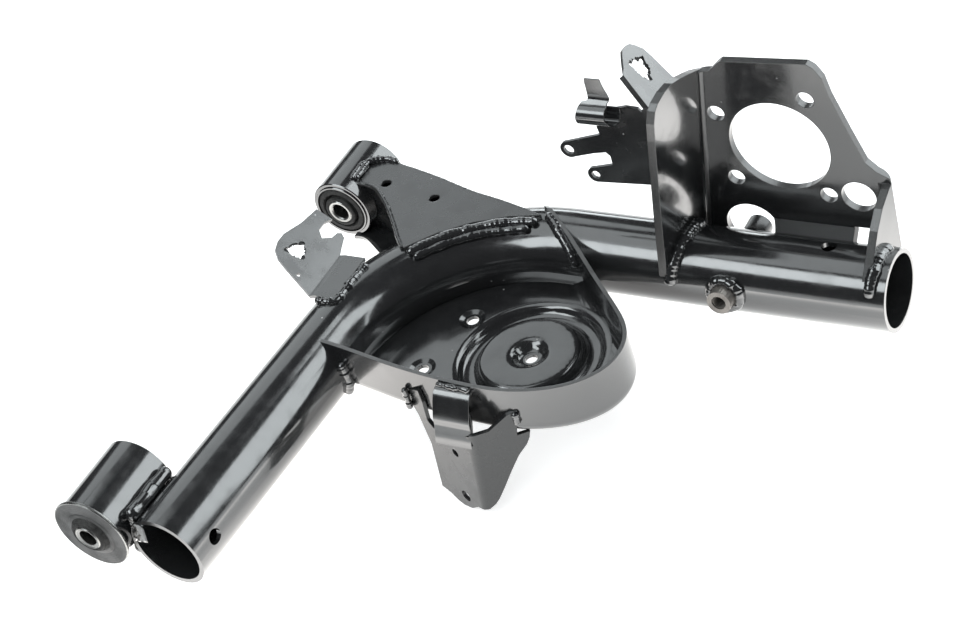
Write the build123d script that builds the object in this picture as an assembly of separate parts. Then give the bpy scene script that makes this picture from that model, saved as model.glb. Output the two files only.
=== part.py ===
from build123d import *
import os
from math import cos, sin, tan, radians, sqrt, hypot, atan2, degrees

# Driving sizes in mm. The origin is the centre of the front face of the rear pivot bush,
# +Y runs along the pivot axis, +X towards the hub end and +Z is up.
tube_r = 30.0
tube_wall = 3.5
tube_drop = 12.0
tube_bend = 140.0
leg_lean = 2.5
leg_end_y = -350.0
arm_y = 4.5
arm_end_x = 462.0

bush_len_1 = 63.0
bush_front_1 = -356.0
sleeve_r_1 = 28.0
sleeve_r_2 = 25.8
sleeve_wall = 2.8
bush_len_2 = 58.0
inner_r = 10.4
bore_r = 6.9
weld_gap = 0.3

sheet = 3.0
pan_floor = -25.0
pan_rim = 15.0
pan_tip = 6.5
seat_x = 216.5
seat_y = -101.0
seat_r = 57.5
boss_r = 38.0
groove_depth = 6.5
drain_r = 4.8

plate = 6.0
web_y = 35.0
hub_x = 376.0
hub_z = 81.0
hub_r = 37.5
bolt_pcd = 100.0
bolt_r = 6.5
flange_x = 306.0
flange_lean = 0.147
flange_splay = 0.129
flange_end_x = 455.0
fold_out = 9.0
fold_in = 4.0

boss_x = 342.7
boss_tilt = 6.0
boss_out_r = 9.2
thread_r = 5.4

tube_z = -tube_drop
leg_x = sqrt((sleeve_r_1 + tube_r + weld_gap) ** 2 - tube_drop ** 2)
lean = tan(radians(leg_lean))
os.makedirs("parts", exist_ok=True)
done = {}


def leg_axis(y):
    # x of the leg's axis line at a given y
    return leg_x + (y - leg_end_y) * lean


corner_x = leg_axis(arm_y)
run = tube_bend * tan(radians((90 - leg_lean) / 2))
bend_x = corner_x + run
bend_y = arm_y - tube_bend
path = FilletPolyline((leg_x, leg_end_y, tube_z), (corner_x, arm_y, tube_z), (arm_end_x, arm_y, tube_z), radius=tube_bend)
start = Plane(origin=(leg_x, leg_end_y, tube_z), z_dir=(lean, 1, 0))


def tube_solid(r):
    return sweep(start * Circle(r), path=path)


def spun(x, z, profile):
    # turns a closed (radius, y) profile about a line parallel to Y
    pts = [(x + r, y, z) for r, y in profile]
    face = make_face(Polyline(*pts, close=True))
    return revolve(face, axis=Axis((x, 0, z), (0, 1, 0)))


def dished(x, y, profile):
    # turns a closed (radius, z) profile about a vertical line
    pts = [(x + r, y, z) for r, z in profile]
    face = make_face(Polyline(*pts, close=True))
    return revolve(face, axis=Axis((x, y, 0), (0, 0, 1)))


def rod(p, direction, length, r):
    return extrude(Plane(origin=p, z_dir=direction) * Circle(r), length)


def slab(points, vector):
    # a flat plate from coplanar points and its thickness vector
    face = make_face(Polyline(*points, close=True))
    return extrude(face, amount=Vector(*vector).length, dir=vector)


def bead(points, r):
    # a weld bead, round in section with round ends
    line = Spline(*points) if len(points) > 2 else Line(*points)
    body = sweep(Plane(origin=line @ 0, z_dir=line % 0) * Circle(r), path=line)
    body = body + Pos(*(line @ 0)) * Sphere(r) + Pos(*(line @ 1)) * Sphere(r)
    return body


def keep(name, shape, cutters=()):
    for other in cutters:
        shape = shape - other
    biggest = max(s.volume for s in shape.solids())
    solids = [s for s in shape.solids() if s.volume > 0.02 * biggest]
    shape = solids[0] if len(solids) == 1 else Compound(children=solids)
    done[name] = shape
    export_step(shape, "parts/" + name + ".step")
    return shape


def on_leg(y, angle, out=0.0):
    # point on the leg's skin, angle measured from +X towards +Z
    r = tube_r + out
    return (leg_axis(y) + r * cos(radians(angle)), y, tube_z + r * sin(radians(angle)))


def on_arm(x, angle, out=0.0):
    # point on the straight arm's skin, angle measured from -Y towards +Z
    r = tube_r + out
    return (x, arm_y - r * cos(radians(angle)), tube_z + r * sin(radians(angle)))


# Bent main tube with its three side holes.
solid_tube = tube_solid(tube_r)
bored = solid_tube - tube_solid(tube_r - tube_wall)
top_hole = rod((arm_end_x - 49, arm_y + 4, tube_z + 10), (0, 0, 1), 30, 5.6)
side_hole = rod((leg_axis(-331), -331, tube_z + 4), (1, 0, 0), 40, 5.8)
boss_dir = (0, -cos(radians(boss_tilt)), sin(radians(boss_tilt)))
boss_mid = (boss_x, arm_y, tube_z)
boss_bore = rod(boss_mid, boss_dir, 60, thread_r)
main_tube = keep("main_tube", bored, [top_hole, side_hole, boss_bore])

# Pivot bushes: sleeve, outer shell, bonded rubber and inner tube.
y1 = bush_front_1
y1b = y1 + bush_len_1
r1 = sleeve_r_1
r1i = r1 - sleeve_wall
sleeve_1 = spun(0, 0, [(r1i, y1), (r1 - 0.8, y1), (r1, y1 + 0.8), (r1, y1b - 0.8), (r1 - 0.8, y1b), (r1i, y1b)])
body_1 = rod((0, y1, 0), (0, 1, 0), bush_len_1, r1)
keep("bush_sleeve_front", sleeve_1)
flange = [(17.5, y1), (r1 + 1.8, y1), (r1 + 2.2, y1 - 1.0), (r1 + 1.8, y1 - 2.2), (19.0, y1 - 2.2), (17.5, y1 - 1.2)]
keep("bush_flange_front", spun(0, 0, flange))
front_1 = [(inner_r, y1 - 5.0), (12.0, y1 - 5.6), (14.2, y1 - 5.0), (16.0, y1 - 2.0), (17.5, y1 - 1.2), (17.5, y1), (r1i, y1)]
back_1 = [(r1i, y1b - 1.5), (20.0, y1b - 3.5), (14.0, y1b), (inner_r, y1b)]
keep("bush_rubber_front", spun(0, 0, front_1 + back_1))
inner_1 = [(bore_r, y1 - 6.0), (inner_r - 0.8, y1 - 7.0), (inner_r, y1 - 6.2), (inner_r, y1b + 3.0), (bore_r, y1b + 3.0)]
keep("bush_inner_front", spun(0, 0, inner_1))

y2 = bush_len_2
r2 = sleeve_r_2
r2i = r2 - sleeve_wall
sleeve_2 = spun(0, 0, [(r2i, 0), (r2 - 0.7, 0), (r2, 0.7), (r2, y2 - 0.7), (r2 - 0.7, y2), (r2i, y2)])
body_2 = rod((0, 0, 0), (0, 1, 0), y2, r2)
keep("bush_sleeve_rear", sleeve_2)
shell_2 = [(r2i - 1.6, -1.2), (r2i - 0.5, -1.2), (r2i, -0.6), (r2i, y2 + 1.2), (r2i - 1.6, y2 + 1.2)]
keep("bush_shell_rear", spun(0, 0, shell_2))
face_2 = [(inner_r, -1.0), (12.4, -1.4), (13.6, 0.2), (14.3, 3.0), (15.1, 0.2), (16.2, -1.6), (19.5, -1.2), (r2i - 1.6, 0.6)]
rear_2 = [(r2i - 1.6, y2 - 0.6), (19.5, y2 + 1.2), (16.2, y2 + 1.6), (14.3, y2 - 3.0), (12.4, y2 + 1.4), (inner_r, y2 + 1.0)]
keep("bush_rubber_rear", spun(0, 0, face_2 + rear_2))
inner_2 = [(bore_r, -2.2), (bore_r + 1.2, -3.4), (inner_r - 0.6, -3.4), (inner_r, -2.8), (inner_r, y2 + 3.4), (bore_r, y2 + 3.4)]
keep("bush_inner_rear", spun(0, 0, inner_2))

# Spring pan: one pressing with a curved wall, a grooved spring seat and drain dimples.
leg_y = seat_y - 55.0
skirt = [(leg_axis(leg_y) - 2, leg_y), (seat_x - 118.5, seat_y - 59.5), (seat_x - 74.5, seat_y - 67.5)]
skirt += [(seat_x - 12.5, seat_y - 74.5), (seat_x + 23.5, seat_y - 74), (seat_x + 51.5, seat_y - 67)]
skirt += [(seat_x + 76.5, seat_y - 52), (seat_x + 89.5, seat_y - 33), (seat_x + 91.5, seat_y - 13)]
skirt += [(seat_x + 85.5, seat_y + 4), (seat_x + 69, seat_y + 23.5), (seat_x + 48, seat_y + 43.5)]
skirt += [(seat_x + 18.5, seat_y + 71.5), (seat_x - 2.5, arm_y - 14.5), (seat_x - 17, arm_y - 2), (seat_x - 31.5, arm_y + 10.5)]


def inset(points, gap):
    # moves each point of the skirt inward by the sheet thickness
    out = []
    for i, (x, y) in enumerate(points):
        a = points[max(i - 1, 0)]
        b = points[min(i + 1, len(points) - 1)]
        dx, dy = b[0] - a[0], b[1] - a[1]
        n = hypot(dx, dy)
        out.append((x - gap * dy / n, y + gap * dx / n))
    return out


def section(points, gap, z):
    # the skirt outline at one height, closed along the inside of the tube
    line = Spline(*[(x, y, z) for x, y in inset(points, gap)])
    r = tube_bend - 2
    middle = (bend_x + r * cos(radians(135)), bend_y + r * sin(radians(135)), z)
    b = (bend_x, bend_y + r, z)
    c = (bend_x - r, bend_y, z)
    return make_face(line + Line(line @ 1, b) + ThreePointArc(b, middle, c) + Line(c, line @ 0))


def skirt_wall(bend):
    # wall and rolled lower edge, one section swept round the skirt
    line = Spline(*[(x, y, 0) for x, y in skirt])
    t = line % 0
    side = Plane(origin=line @ 0, x_dir=(t.Y, -t.X, 0), z_dir=(t.X, t.Y, 0))
    low = sheet - pan_floor
    k = sqrt(0.5)
    high = -pan_rim - pan_tip
    a = Line((0, high), (0, low - bend))
    b = ThreePointArc((0, low - bend), (-bend + bend * k, low - bend + bend * k), (-bend, low))
    c = Polyline((-bend, low), (-bend - 3, low), (-bend - 3, low - sheet), (-bend, low - sheet))
    q = bend - sheet
    d = ThreePointArc((-bend, low - sheet), (-bend + q * k, low - bend + q * k), (-sheet, low - bend))
    e = Polyline((-sheet, low - bend), (-sheet, high), (0, high))
    return sweep(side * make_face(a + b + c + d + e), path=line)


pan_bend = 11.0
floor = extrude(section(skirt, pan_bend + 1, pan_floor - sheet), amount=sheet, dir=(0, 0, 1))
rim_line = [(seat_y - 100, pan_rim), (arm_y - 52, pan_rim), (arm_y - 3, pan_rim + pan_tip), (arm_y + 4, pan_rim + pan_tip)]
rim_line += [(arm_y + 8, pan_rim + pan_tip - 2), (arm_y + 10.5, pan_rim), (arm_y + 30, pan_rim), (arm_y + 30, 60), (seat_y - 100, 60)]
rim_cut = slab([(0, y, z) for y, z in rim_line], (seat_x + 150, 0, 0))
pan = skirt_wall(pan_bend) - rim_cut + floor
outer_tray = extrude(section(skirt, 0.0, pan_floor - sheet), amount=pan_rim - pan_floor + sheet, dir=(0, 0, 1))
f0 = pan_floor
g0 = pan_floor - groove_depth
s = sheet
top_line = [(drain_r, f0 - 2.6), (7.0, f0 - 2.5), (9.5, f0 - 1.4), (12.5, f0 + 1.6), (15.5, f0 + 3.1), (19.5, f0 + 3.5)]
top_line += [(boss_r - 4.0, f0 + 3.5), (boss_r - 1.0, f0 + 2.9), (boss_r + 1.2, f0), (boss_r + 3.0, g0 + 2.0), (boss_r + 6.0, g0)]
top_line += [(seat_r - 8.5, g0), (seat_r - 5.5, g0 + 1.2), (seat_r - 2.5, f0 - 1.6), (seat_r + 0.5, f0 - 0.2), (seat_r + 3.0, f0)]
inner_line = Spline(*[(seat_x + r, seat_y, z) for r, z in top_line])
outer_line = Spline(*[(seat_x + r, seat_y, z - s) for r, z in top_line])
seat_face = make_face(inner_line + Line(inner_line @ 1, outer_line @ 1) + outer_line + Line(outer_line @ 0, inner_line @ 0))
seat = revolve(seat_face, axis=Axis((seat_x, seat_y, 0), (0, 0, 1)))
seat_cut = Pos(seat_x, seat_y, f0 - s) * Cylinder(seat_r + 3.0, 2 * s + 20)
pan = pan - seat_cut + seat
for hx, hy in ((seat_x - 64, seat_y + 28), (seat_x - 77, seat_y - 29)):
    cup = dished(hx, hy, [(drain_r, f0 - 1.6), (7, f0 - 1.6), (10.5, f0), (10.5, f0 - s), (7.4, f0 - 1.6 - s), (drain_r, f0 - 1.6 - s)])
    pan = pan - Pos(hx, hy, f0) * Cylinder(10.5, 12) + cup
spring_pan = keep("spring_pan", pan, [solid_tube])

# Hub plate: web, two folded flanges and a lip that lands on the tube.


def left(y, z, out=0.0):
    # point on the inner face of the leaning left flange
    return (flange_x + flange_lean * z + (y - web_y) * flange_splay - out, y, z)


def left_x(z):
    return flange_x + flange_lean * z


end_in = flange_end_x - plate
web_points = [(left_x(-10) - plate, -10), (left_x(140) - plate, 140), (hub_x - 42, 142), (hub_x - 35, 149), (hub_x - 32, 151)]
web_points += [(hub_x + 31, 154), (hub_x + 36, 151), (hub_x + 41, 143), (hub_x + 44, 128), (hub_x + 54, 97), (hub_x + 62, 74)]
web_points += [(hub_x + 69, 67), (flange_end_x - 1, 62), (flange_end_x, 56), (flange_end_x, -10)]
web = slab([(x, web_y, z) for x, z in web_points], (0, plate, 0))
lf = [(web_y + plate, -10), (web_y + plate, 140), (23, 148), (10, 153), (0, 156), (-10, 156), (-19, 153), (-23, 149)]
lf += [(-25.5, 140), (-26, 125), (-26, 60), (-25, 0), (-22, -6), (-10, -10)]
left_flange = slab([left(y, z) for y, z in lf], (-plate, 0, 0))
rf = [(web_y + plate, -10), (web_y + plate, 59), (30, 57), (17, 50), (6, 39), (-8, 20), (-15, 11), (-19, 4), (-20, -6), (0, -10)]
right_flange = slab([(end_in - (web_y - y) * 0.085, y, z) for y, z in rf], (plate, 0, 0))


def upright(shape, x, y):
    # the long upright edge nearest to that place at half height
    tall = [e for e in shape.edges() if e.length > hub_r and abs((e % 0).Z) > 0.9]
    return min(tall, key=lambda e: hypot((e @ 0.5).X - x, (e @ 0.5).Y - y))


def corner_cut(x, y, side, z0, direction):
    # what a folded corner leaves off, along the fold
    k = fold_out * (1 - sqrt(0.5))
    a = Line((x + side * fold_out, y + 1, z0), (x - side, y + 1, z0))
    b = Line((x - side, y + 1, z0), (x - side, y - fold_out, z0))
    c = Line((x - side, y - fold_out, z0), (x, y - fold_out, z0))
    d = ThreePointArc((x, y - fold_out, z0), (x + side * k, y - k, z0), (x + side * fold_out, y, z0))
    e = Line((x + side * fold_out, y, z0), (x + side * fold_out, y + 1, z0))
    return extrude(make_face(a + b + c + d + e), amount=180, dir=direction)


web = web + left_flange
web = fillet([upright(web, left_x(65), web_y)], fold_in)
web = web + right_flange
web = fillet([upright(web, end_in, web_y)], fold_in)
back_y = web_y + plate
web = web - corner_cut(left_x(-20) - plate + plate * flange_splay, back_y, 1, -20, (flange_lean, 0, 1))
web = web - corner_cut(flange_end_x + 0.5, back_y, -1, -20, (0, 0, 1))
lip_top = 14.0
arch_x = hub_x - 33.5
arch_r = 20.5
lip = slab([(arch_x + arch_r - 3, y, z) for y, z in ((web_y, lip_top), (web_y + plate, lip_top), (web_y + plate, 8), (31, -2), (25, 4))], (63, 0, 0))
below = Pos(arch_x + arch_r + 43, web_y + 10, lip_top - 20) * Box(90, 40, 40)
web = web - below
hub_plate = web + lip
relief = Pos(hub_x + 46 + 12, web_y, lip_top - 14) * Box(24, 30, 30)
arch = rod((arch_x, web_y - 20, tube_z + 16), (0, 1, 0), 60, arch_r)
hub_bore = rod((hub_x, web_y - 5, hub_z), (0, 1, 0), 20, hub_r)
hole_e = rod((hub_x + 53, web_y - 5, hub_z - 38), (0, 1, 0), 20, 12.8)
cuts = [relief, arch, hub_bore, hole_e]
bolt_spots = []
for a in (151, 220, 59, 308):
    bx = hub_x + bolt_pcd / 2 * cos(radians(a))
    bz = hub_z + bolt_pcd / 2 * sin(radians(a))
    bolt_spots.append((bx, bz))
    cuts.append(rod((bx, web_y - 5, bz), (0, 1, 0), 20, bolt_r))
keep("hub_plate", hub_plate, cuts + [solid_tube])
solid_hub = done["hub_plate"]

# Round stub on the back of the arm, seen through the arch.
stub = rod((arch_x + 3.5, arm_y + 20, tube_z + 14), (0, 1, 0), 15, 9.5)
keep("rear_stub", stub, [solid_tube, solid_hub])

# Threaded boss on the arm's front.
boss = rod(boss_mid, boss_dir, tube_r + 12, boss_out_r) - boss_bore
keep("threaded_boss", boss, [solid_tube])

# Box gusset between the rear bush and the bend.
crown = [(bend_x + (tube_bend - 3) * cos(radians(a)), bend_y + (tube_bend - 3) * sin(radians(a))) for a in (144, 132, 120, 108, 98)]
cx, cy = crown[0]
front_edge = [(cx - 87, cy + 66), (cx - 71, cy + 66), (cx - 60, cy + 62.5), (cx - 47, cy + 52), (cx - 35, cy + 40)]
front_edge += [(cx - 22, cy + 25), (cx - 10, cy + 10.5), crown[0]]
rear_edge = [crown[-1], (152, 10), (116, 18), (84, 28), (46, 38), (12, 47)]


def plan_face(z):
    a = Spline(*[(x, y, z) for x, y in front_edge])
    b = Polyline(*[(x, y, z) for x, y in crown])
    c = Spline(*[(x, y, z) for x, y in rear_edge])
    return make_face(a + b + c + Line(c @ 1, a @ 0))


def wall(points, z0, z1, t):
    inner = inset(points, t)
    a = Spline(*[(x, y, z0) for x, y in points])
    b = Spline(*[(x, y, z0) for x, y in inner])
    return extrude(make_face(a + Line(a @ 1, b @ 1) + b + Line(b @ 0, a @ 0)), amount=z1 - z0, dir=(0, 0, 1))


deck = tube_z + tube_r + 0.1
top = extrude(plan_face(deck), amount=sheet, dir=(0, 0, 1))
front_wall = wall(front_edge, -24, deck + 0.5, sheet)
rear_wall = wall(rear_edge, -24, deck + 0.5, sheet)
pin_holes = [rod((41, 14, deck - 8), (0, 0, 1), 30, 4.4), rod((91, 4, deck - 8), (0, 0, 1), 30, 4.4)]
keep("gusset", top + front_wall + rear_wall, pin_holes + [solid_tube, body_2])
low_edge = [(5, -3), (14, -3), (25, -9), (38, -18), (56, -30), (80, -52)]
low_a = Spline(*[(x, y, -27.2) for x, y in low_edge])
low_b = Polyline((80, -52, -27.2), (150, 0, -27.2), (116, 16, -27.2), (46, 36, -27.2), (12, 44, -27.2), (5, -3, -27.2))
keep("gusset_lower", extrude(make_face(low_a + low_b), amount=sheet, dir=(0, 0, 1)), [solid_tube, body_2])

# Brake hose bracket with a notched round opening and a hook.
tilt = radians(26)


def hose(u, v, w=0.0):
    return (46 - u * cos(tilt) + w * sin(tilt), -93 + v, 17.2 + u * sin(tilt) + w * cos(tilt))


hp = [(-1, -25), (10, -20), (28, -12), (38, -7), (44, -1), (46.5, 7), (46.5, 16), (44, 24), (41, 33), (38, 52), (23, 50), (26, 44), (26, 35)]
hp += [(20, 29), (14, 34), (13, 40), (10, 42), (6, 39), (3, 30), (0, 22)]
blade = slab([hose(u, v) for u, v in hp], tuple(b - a for a, b in zip(hose(0, 0), hose(0, 0, 2.5))))
n_hose = (sin(tilt), 0, cos(tilt))
star = rod(hose(30, 8, -5), n_hose, 12, 7.0)
for a in (90, 210, 330):
    star = star + rod(hose(30 + 7.6 * cos(radians(a)), 8 + 7.6 * sin(radians(a)), -5), n_hose, 12, 2.4)
pin = rod(hose(17, -12, -5), n_hose, 12, 1.6)
foot_pts = [(47, 17.2), (46, 19.5), (52, 20.7), (70, 20.7), (70, 18.1), (52, 18.1)]
foot = slab([(x, -118, z) for x, z in foot_pts], (0, 47, 0))
keep("hose_bracket", blade + foot, [star, pin, solid_tube])

# Folded bracket under the front of the pan.
fold = Vector(218, -196, -15)
fold_low = Vector(206, -193, -96)
fa = [(156, -171, -4), (169, -175, 1), (170, -176, -10), (168, -177, -28), (173, -179, -33), (218, -196, -15)]
fa += [(206, -193, -96), (197, -193.5, -97), (188, -191, -104), (178, -187, -107), (171, -184.5, -106), (165, -182, -103)]
fa += [(155, -178.2, -102), (162, -176.3, -55), (158, -173.5, -28), (154, -171.3, -19)]
fb = [(218, -196, -15), (228, -186, -15), (240, -177, -5), (249, -170, -2), (251, -167, -22), (248, -168, -30)]
fb += [(247.5, -169, -34), (244.5, -170.7, -40.3), (237.7, -174.8, -49), (230.3, -178.6, -62.2), (222.2, -182.6, -77.7)]
fb += [(216.7, -185.4, -87.7), (213.3, -187.5, -92.5), (208.9, -190.5, -96), (206, -193, -96)]


def flat(points, origin, normal, t):
    # drops the points onto one plane and thickens it
    o = Vector(*origin)
    n = Vector(*normal).normalized()
    pts = []
    for p in points:
        q = Vector(*p)
        pts.append(q - n * (q - o).dot(n))
    return extrude(make_face(Polyline(*pts, close=True)), amount=t, dir=n)


n_a = Vector(0.367, 0.927, -0.073)
along = (fold_low - fold).normalized()
n_a = (n_a - along * n_a.dot(along)).normalized()
n_b = Vector(-0.62, 0.775, 0.124)
n_b = (n_b - along * n_b.dot(along)).normalized()
front = flat(fa, fold, n_a, sheet) + flat(fb, fold, n_b, sheet)


def fold_cut(origin, axis, into_a, into_b, r):
    # what the rounded fold leaves off its sharp corner
    turn = into_a.get_angle(into_b * -1)
    t = r * tan(radians(turn / 2))
    out = (into_a + into_b).normalized() * -1
    o = origin - axis * 20
    p1, p2 = o + into_a * t, o + into_b * t
    mid = o - out * (r / cos(radians(turn / 2)) - r)
    face = make_face(ThreePointArc(p1, mid, p2) + Polyline(p2, p2 + out * 1.5, o + out * 3, p1 + out * 1.5, p1))
    return extrude(face, amount=150, dir=axis)


to_a = along.cross(n_a).normalized()
to_b = n_b.cross(along).normalized()
if to_a.X > 0:
    to_a, to_b = to_a * -1, to_b * -1
front = front - fold_cut(fold, along, to_a, to_b, 7.0)
hole_a = rod((191 - 4, -188 - 10, -46), (n_a.X, n_a.Y, n_a.Z), 20, 3.4)
hole_b = rod((185 - 4, -189 - 10, -93), (n_a.X, n_a.Y, n_a.Z), 20, 4.8)
strap_mid = [(-173, 10), (-180, 9), (-185, 3), (-186.5, -7), (-190, -16), (-191, -27)]
strap_a = Spline(*[(188, y, z) for y, z in strap_mid])
strap_b = Spline(*[(188, y, z) for y, z in inset(strap_mid, 2.4)])
strap_face = make_face(strap_a + Line(strap_a @ 1, strap_b @ 1) + strap_b + Line(strap_b @ 0, strap_a @ 0))
strap = extrude(strap_face, amount=28, dir=(1, 0, 0))
keep("front_bracket", front + strap, [hole_a, hole_b, outer_tray])

# Hose tab and cable clip plate on the left flange.
n_tab = Vector(0.75, 0.25, 0.6).normalized()
tab_o = (312, 5, 110)
tab_pts = [(268, 56, 144), (271, 58, 139), (280, 58, 128), (294, 59, 111), (306, 50, 100), (310, 20, 107), (311, 4, 111), (303, 3, 122)]
tab_pts += [(296, 0, 133), (278, 12, 150), (277, 21, 148), (271, 30, 151), (266, 40, 148)]
tab = flat(tab_pts, tab_o, n_tab, -2.5)
tab_dir = (n_tab.X, n_tab.Y, n_tab.Z)
tab_c = Vector(280, 41, 135)
tab_c = tab_c - n_tab * (tab_c - Vector(*tab_o)).dot(n_tab)
u_tab = n_tab.cross(Vector(0, 1, 0)).normalized()
v_tab = n_tab.cross(u_tab)
tab_star = rod(tuple(tab_c - n_tab * 8), tab_dir, 16, 7.2)
for a in (20, 140, 260):
    p = tab_c - n_tab * 8 + u_tab * (7.8 * cos(radians(a))) + v_tab * (7.8 * sin(radians(a)))
    tab_star = tab_star + rod(tuple(p), tab_dir, 16, 2.4)
lip_pts = [(303, 3, 122), (296, 0, 133), (278, 12, 150)]
lip_pts = [Vector(*p) - n_tab * (Vector(*p) - Vector(*tab_o)).dot(n_tab) for p in lip_pts]
block = slab([left(y, z, plate) for y, z in ((80, -40), (80, 200), (-60, 200), (-60, -40))], (90, 0, 0))
tab_lip = extrude(make_face(Polyline(lip_pts[1], lip_pts[2], lip_pts[2] - n_tab * 9, lip_pts[1] - n_tab * 9, close=True)), amount=2.5)
keep("hose_tab", tab + tab_lip, [tab_star, block])
clip_pts = [(283, 132), (268, 128), (256, 112), (257, 105), (252, 103), (227, 94.8), (229, 81.3)]
clip_pts += [(248, 87), (258, 89), (261, 86), (261, 78), (245, 73.5), (245, 60.5), (330, 66), (330, 129)]
clip_plate = slab([(x, 0, z) for x, z in clip_pts], (0, 2.5, 0))
clip_plate = clip_plate + rod((228, 0, 88), (0, 1, 0), 2.5, 6.9) + rod((245, 0, 67), (0, 1, 0), 2.5, 6.5)
clip_holes = [rod((228, -5, 88), (0, 1, 0), 12, 4.0), rod((245, -5, 67), (0, 1, 0), 12, 3.4)]
keep("clip_plate", clip_plate, clip_holes + [block, done["hose_tab"]])

# Spring clip for a pipe, rolled from thin strip on the clip plate's corner.
clip_y = -8.7
clip_z = 127.0
clip_r = 9.2
roll = [(clip_y + clip_r * cos(radians(a)), clip_z + clip_r * sin(radians(a))) for a in range(-10, -300, -24)]
roll += [(clip_y + 2.6, clip_z + 12.5), (clip_y + 4.2, clip_z + 17), (clip_y + 4.0, clip_z + 24), (clip_y + 1.5, clip_z + 31)]
roll_a = Spline(*[(248, y, z) for y, z in roll])
roll_b = Spline(*[(248, y, z) for y, z in inset(roll, -1.3)])
roll_face = make_face(roll_a + Line(roll_a @ 1, roll_b @ 1) + roll_b + Line(roll_b @ 0, roll_a @ 0))
keep("pipe_clip", extrude(roll_face, amount=24, dir=(1, 0, 0)), [done["clip_plate"]])

# Weld beads, each cut back to the pieces it joins.
axis_gap = hypot(leg_x, tube_drop)
fillet_r = 5.0
w_u = ((sleeve_r_1 + fillet_r) ** 2 - (tube_r + fillet_r) ** 2 + axis_gap ** 2) / (2 * axis_gap)
w_v = sqrt((sleeve_r_1 + fillet_r) ** 2 - w_u ** 2)
ca, sa = leg_x / axis_gap, -tube_drop / axis_gap
ya, yb = bush_front_1 + 9, bush_front_1 + bush_len_1 - 4
up = bead([(w_u * ca - w_v * sa, ya, w_u * sa + w_v * ca), (w_u * ca - w_v * sa + 0.9, yb, w_u * sa + w_v * ca)], fillet_r + 0.8)
down = bead([(w_u * ca + w_v * sa, ya, w_u * sa - w_v * ca), (w_u * ca + w_v * sa + 0.9, yb, w_u * sa - w_v * ca)], fillet_r + 0.8)
keep("weld_bush_front_upper", up, [solid_tube, body_1])
keep("weld_bush_front_lower", down, [solid_tube, body_1])


def on_bend(angle, offset, z):
    r = tube_bend + offset
    return (bend_x + r * cos(radians(angle)), bend_y + r * sin(radians(angle)), z)


crown_z = tube_z + tube_r
seam = bead([on_bend(a, -7.3, crown_z + 0.4) for a in (143, 132, 121, 110, 99)], 3.3)
keep("weld_gusset_crown", seam, [solid_tube, done["gusset"]])
second = bead([on_bend(a, -12.4, crown_z - 1.9) for a in (139, 130, 119, 109)], 2.6)
keep("weld_gusset_second", second, [solid_tube, done["weld_gusset_crown"]])
bush_bead_x = (sleeve_r_2 + 1.4) * cos(radians(60))
bush_bead_z = (sleeve_r_2 + 1.4) * sin(radians(60))
keep("weld_gusset_bush", bead([(bush_bead_x, 12, bush_bead_z), (bush_bead_x, 42, bush_bead_z)], 2.2), [body_2, done["gusset"]])
pan_left = []
for a in (24, 8, -10, -26, -38):
    x, y, z = on_leg(leg_y - 3.0, a, 0.8)
    pan_left.append((x, leg_y - 3.4 - (x - leg_axis(leg_y)) * 0.09, z))
keep("weld_pan_left", bead(pan_left, 3.3), [solid_tube, spring_pan])
pan_right = []
for a in (90, 72, 55, 36, 16):
    x, y, z = on_arm(0, a, 0.8)
    pan_right.append((seat_x - 24.0 + (arm_y - 2 - y) * 1.16, y, z))
keep("weld_pan_right", bead(pan_right, 3.0), [solid_tube, spring_pan, done["weld_gusset_crown"]])
hub_left = []
for a in (8, 30, 55, 80, 105, 125):
    x, y, z = on_arm(0, a, 0.5)
    hub_left.append((left(y, z)[0] + 1.2, y, z))
keep("weld_hub_left", bead(hub_left, 2.8), [solid_tube, done["hub_plate"]])
hub_right = []
for a in (28, 45, 65, 90, 115):
    x, y, z = on_arm(0, a, 0.5)
    hub_right.append((flange_end_x - (web_y - y) * 0.085 + 0.8, y, z))
keep("weld_hub_right", bead(hub_right, 2.8), [solid_tube, done["hub_plate"]])
ring_at = Vector(*boss_mid) + Vector(*boss_dir) * (tube_r + 0.2)
ring = Plane(origin=ring_at, z_dir=boss_dir) * Torus(boss_out_r + 1.0, 3.0)
keep("weld_boss", ring, [solid_tube, done["threaded_boss"], rod(boss_mid, boss_dir, 60, boss_out_r)])
keep("weld_strap", bead([(188, -175.6, 12), (202, -176.8, 12.4), (216, -177.2, 12)], 2.0), [outer_tray, done["front_bracket"]])
keep("weld_bracket_left", bead([(155, -173, -2), (154.5, -173, -22)], 2.4), [outer_tray, done["front_bracket"]])
keep("weld_bracket_right", bead([(246.5, -175.4, -4), (246.2, -175.4, -16)], 2.4), [outer_tray, done["front_bracket"]])
keep("weld_hose_foot", bead([(70.4, -115, crown_z - 0.2), (71.4, -96, crown_z - 0.2), (72.4, -74, crown_z - 0.2)], 2.2), [solid_tube, done["hose_bracket"]])
side = [left(-1.2, z, plate + 0.9) for z in (70, 98, 124)]
keep("weld_clip_plate", bead(side, 1.7), [block, done["clip_plate"]])
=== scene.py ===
import bpy
import bmesh
from math import sin, cos, pi, radians, sqrt, hypot, tan, atan2
from mathutils import Vector, Matrix, noise


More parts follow.
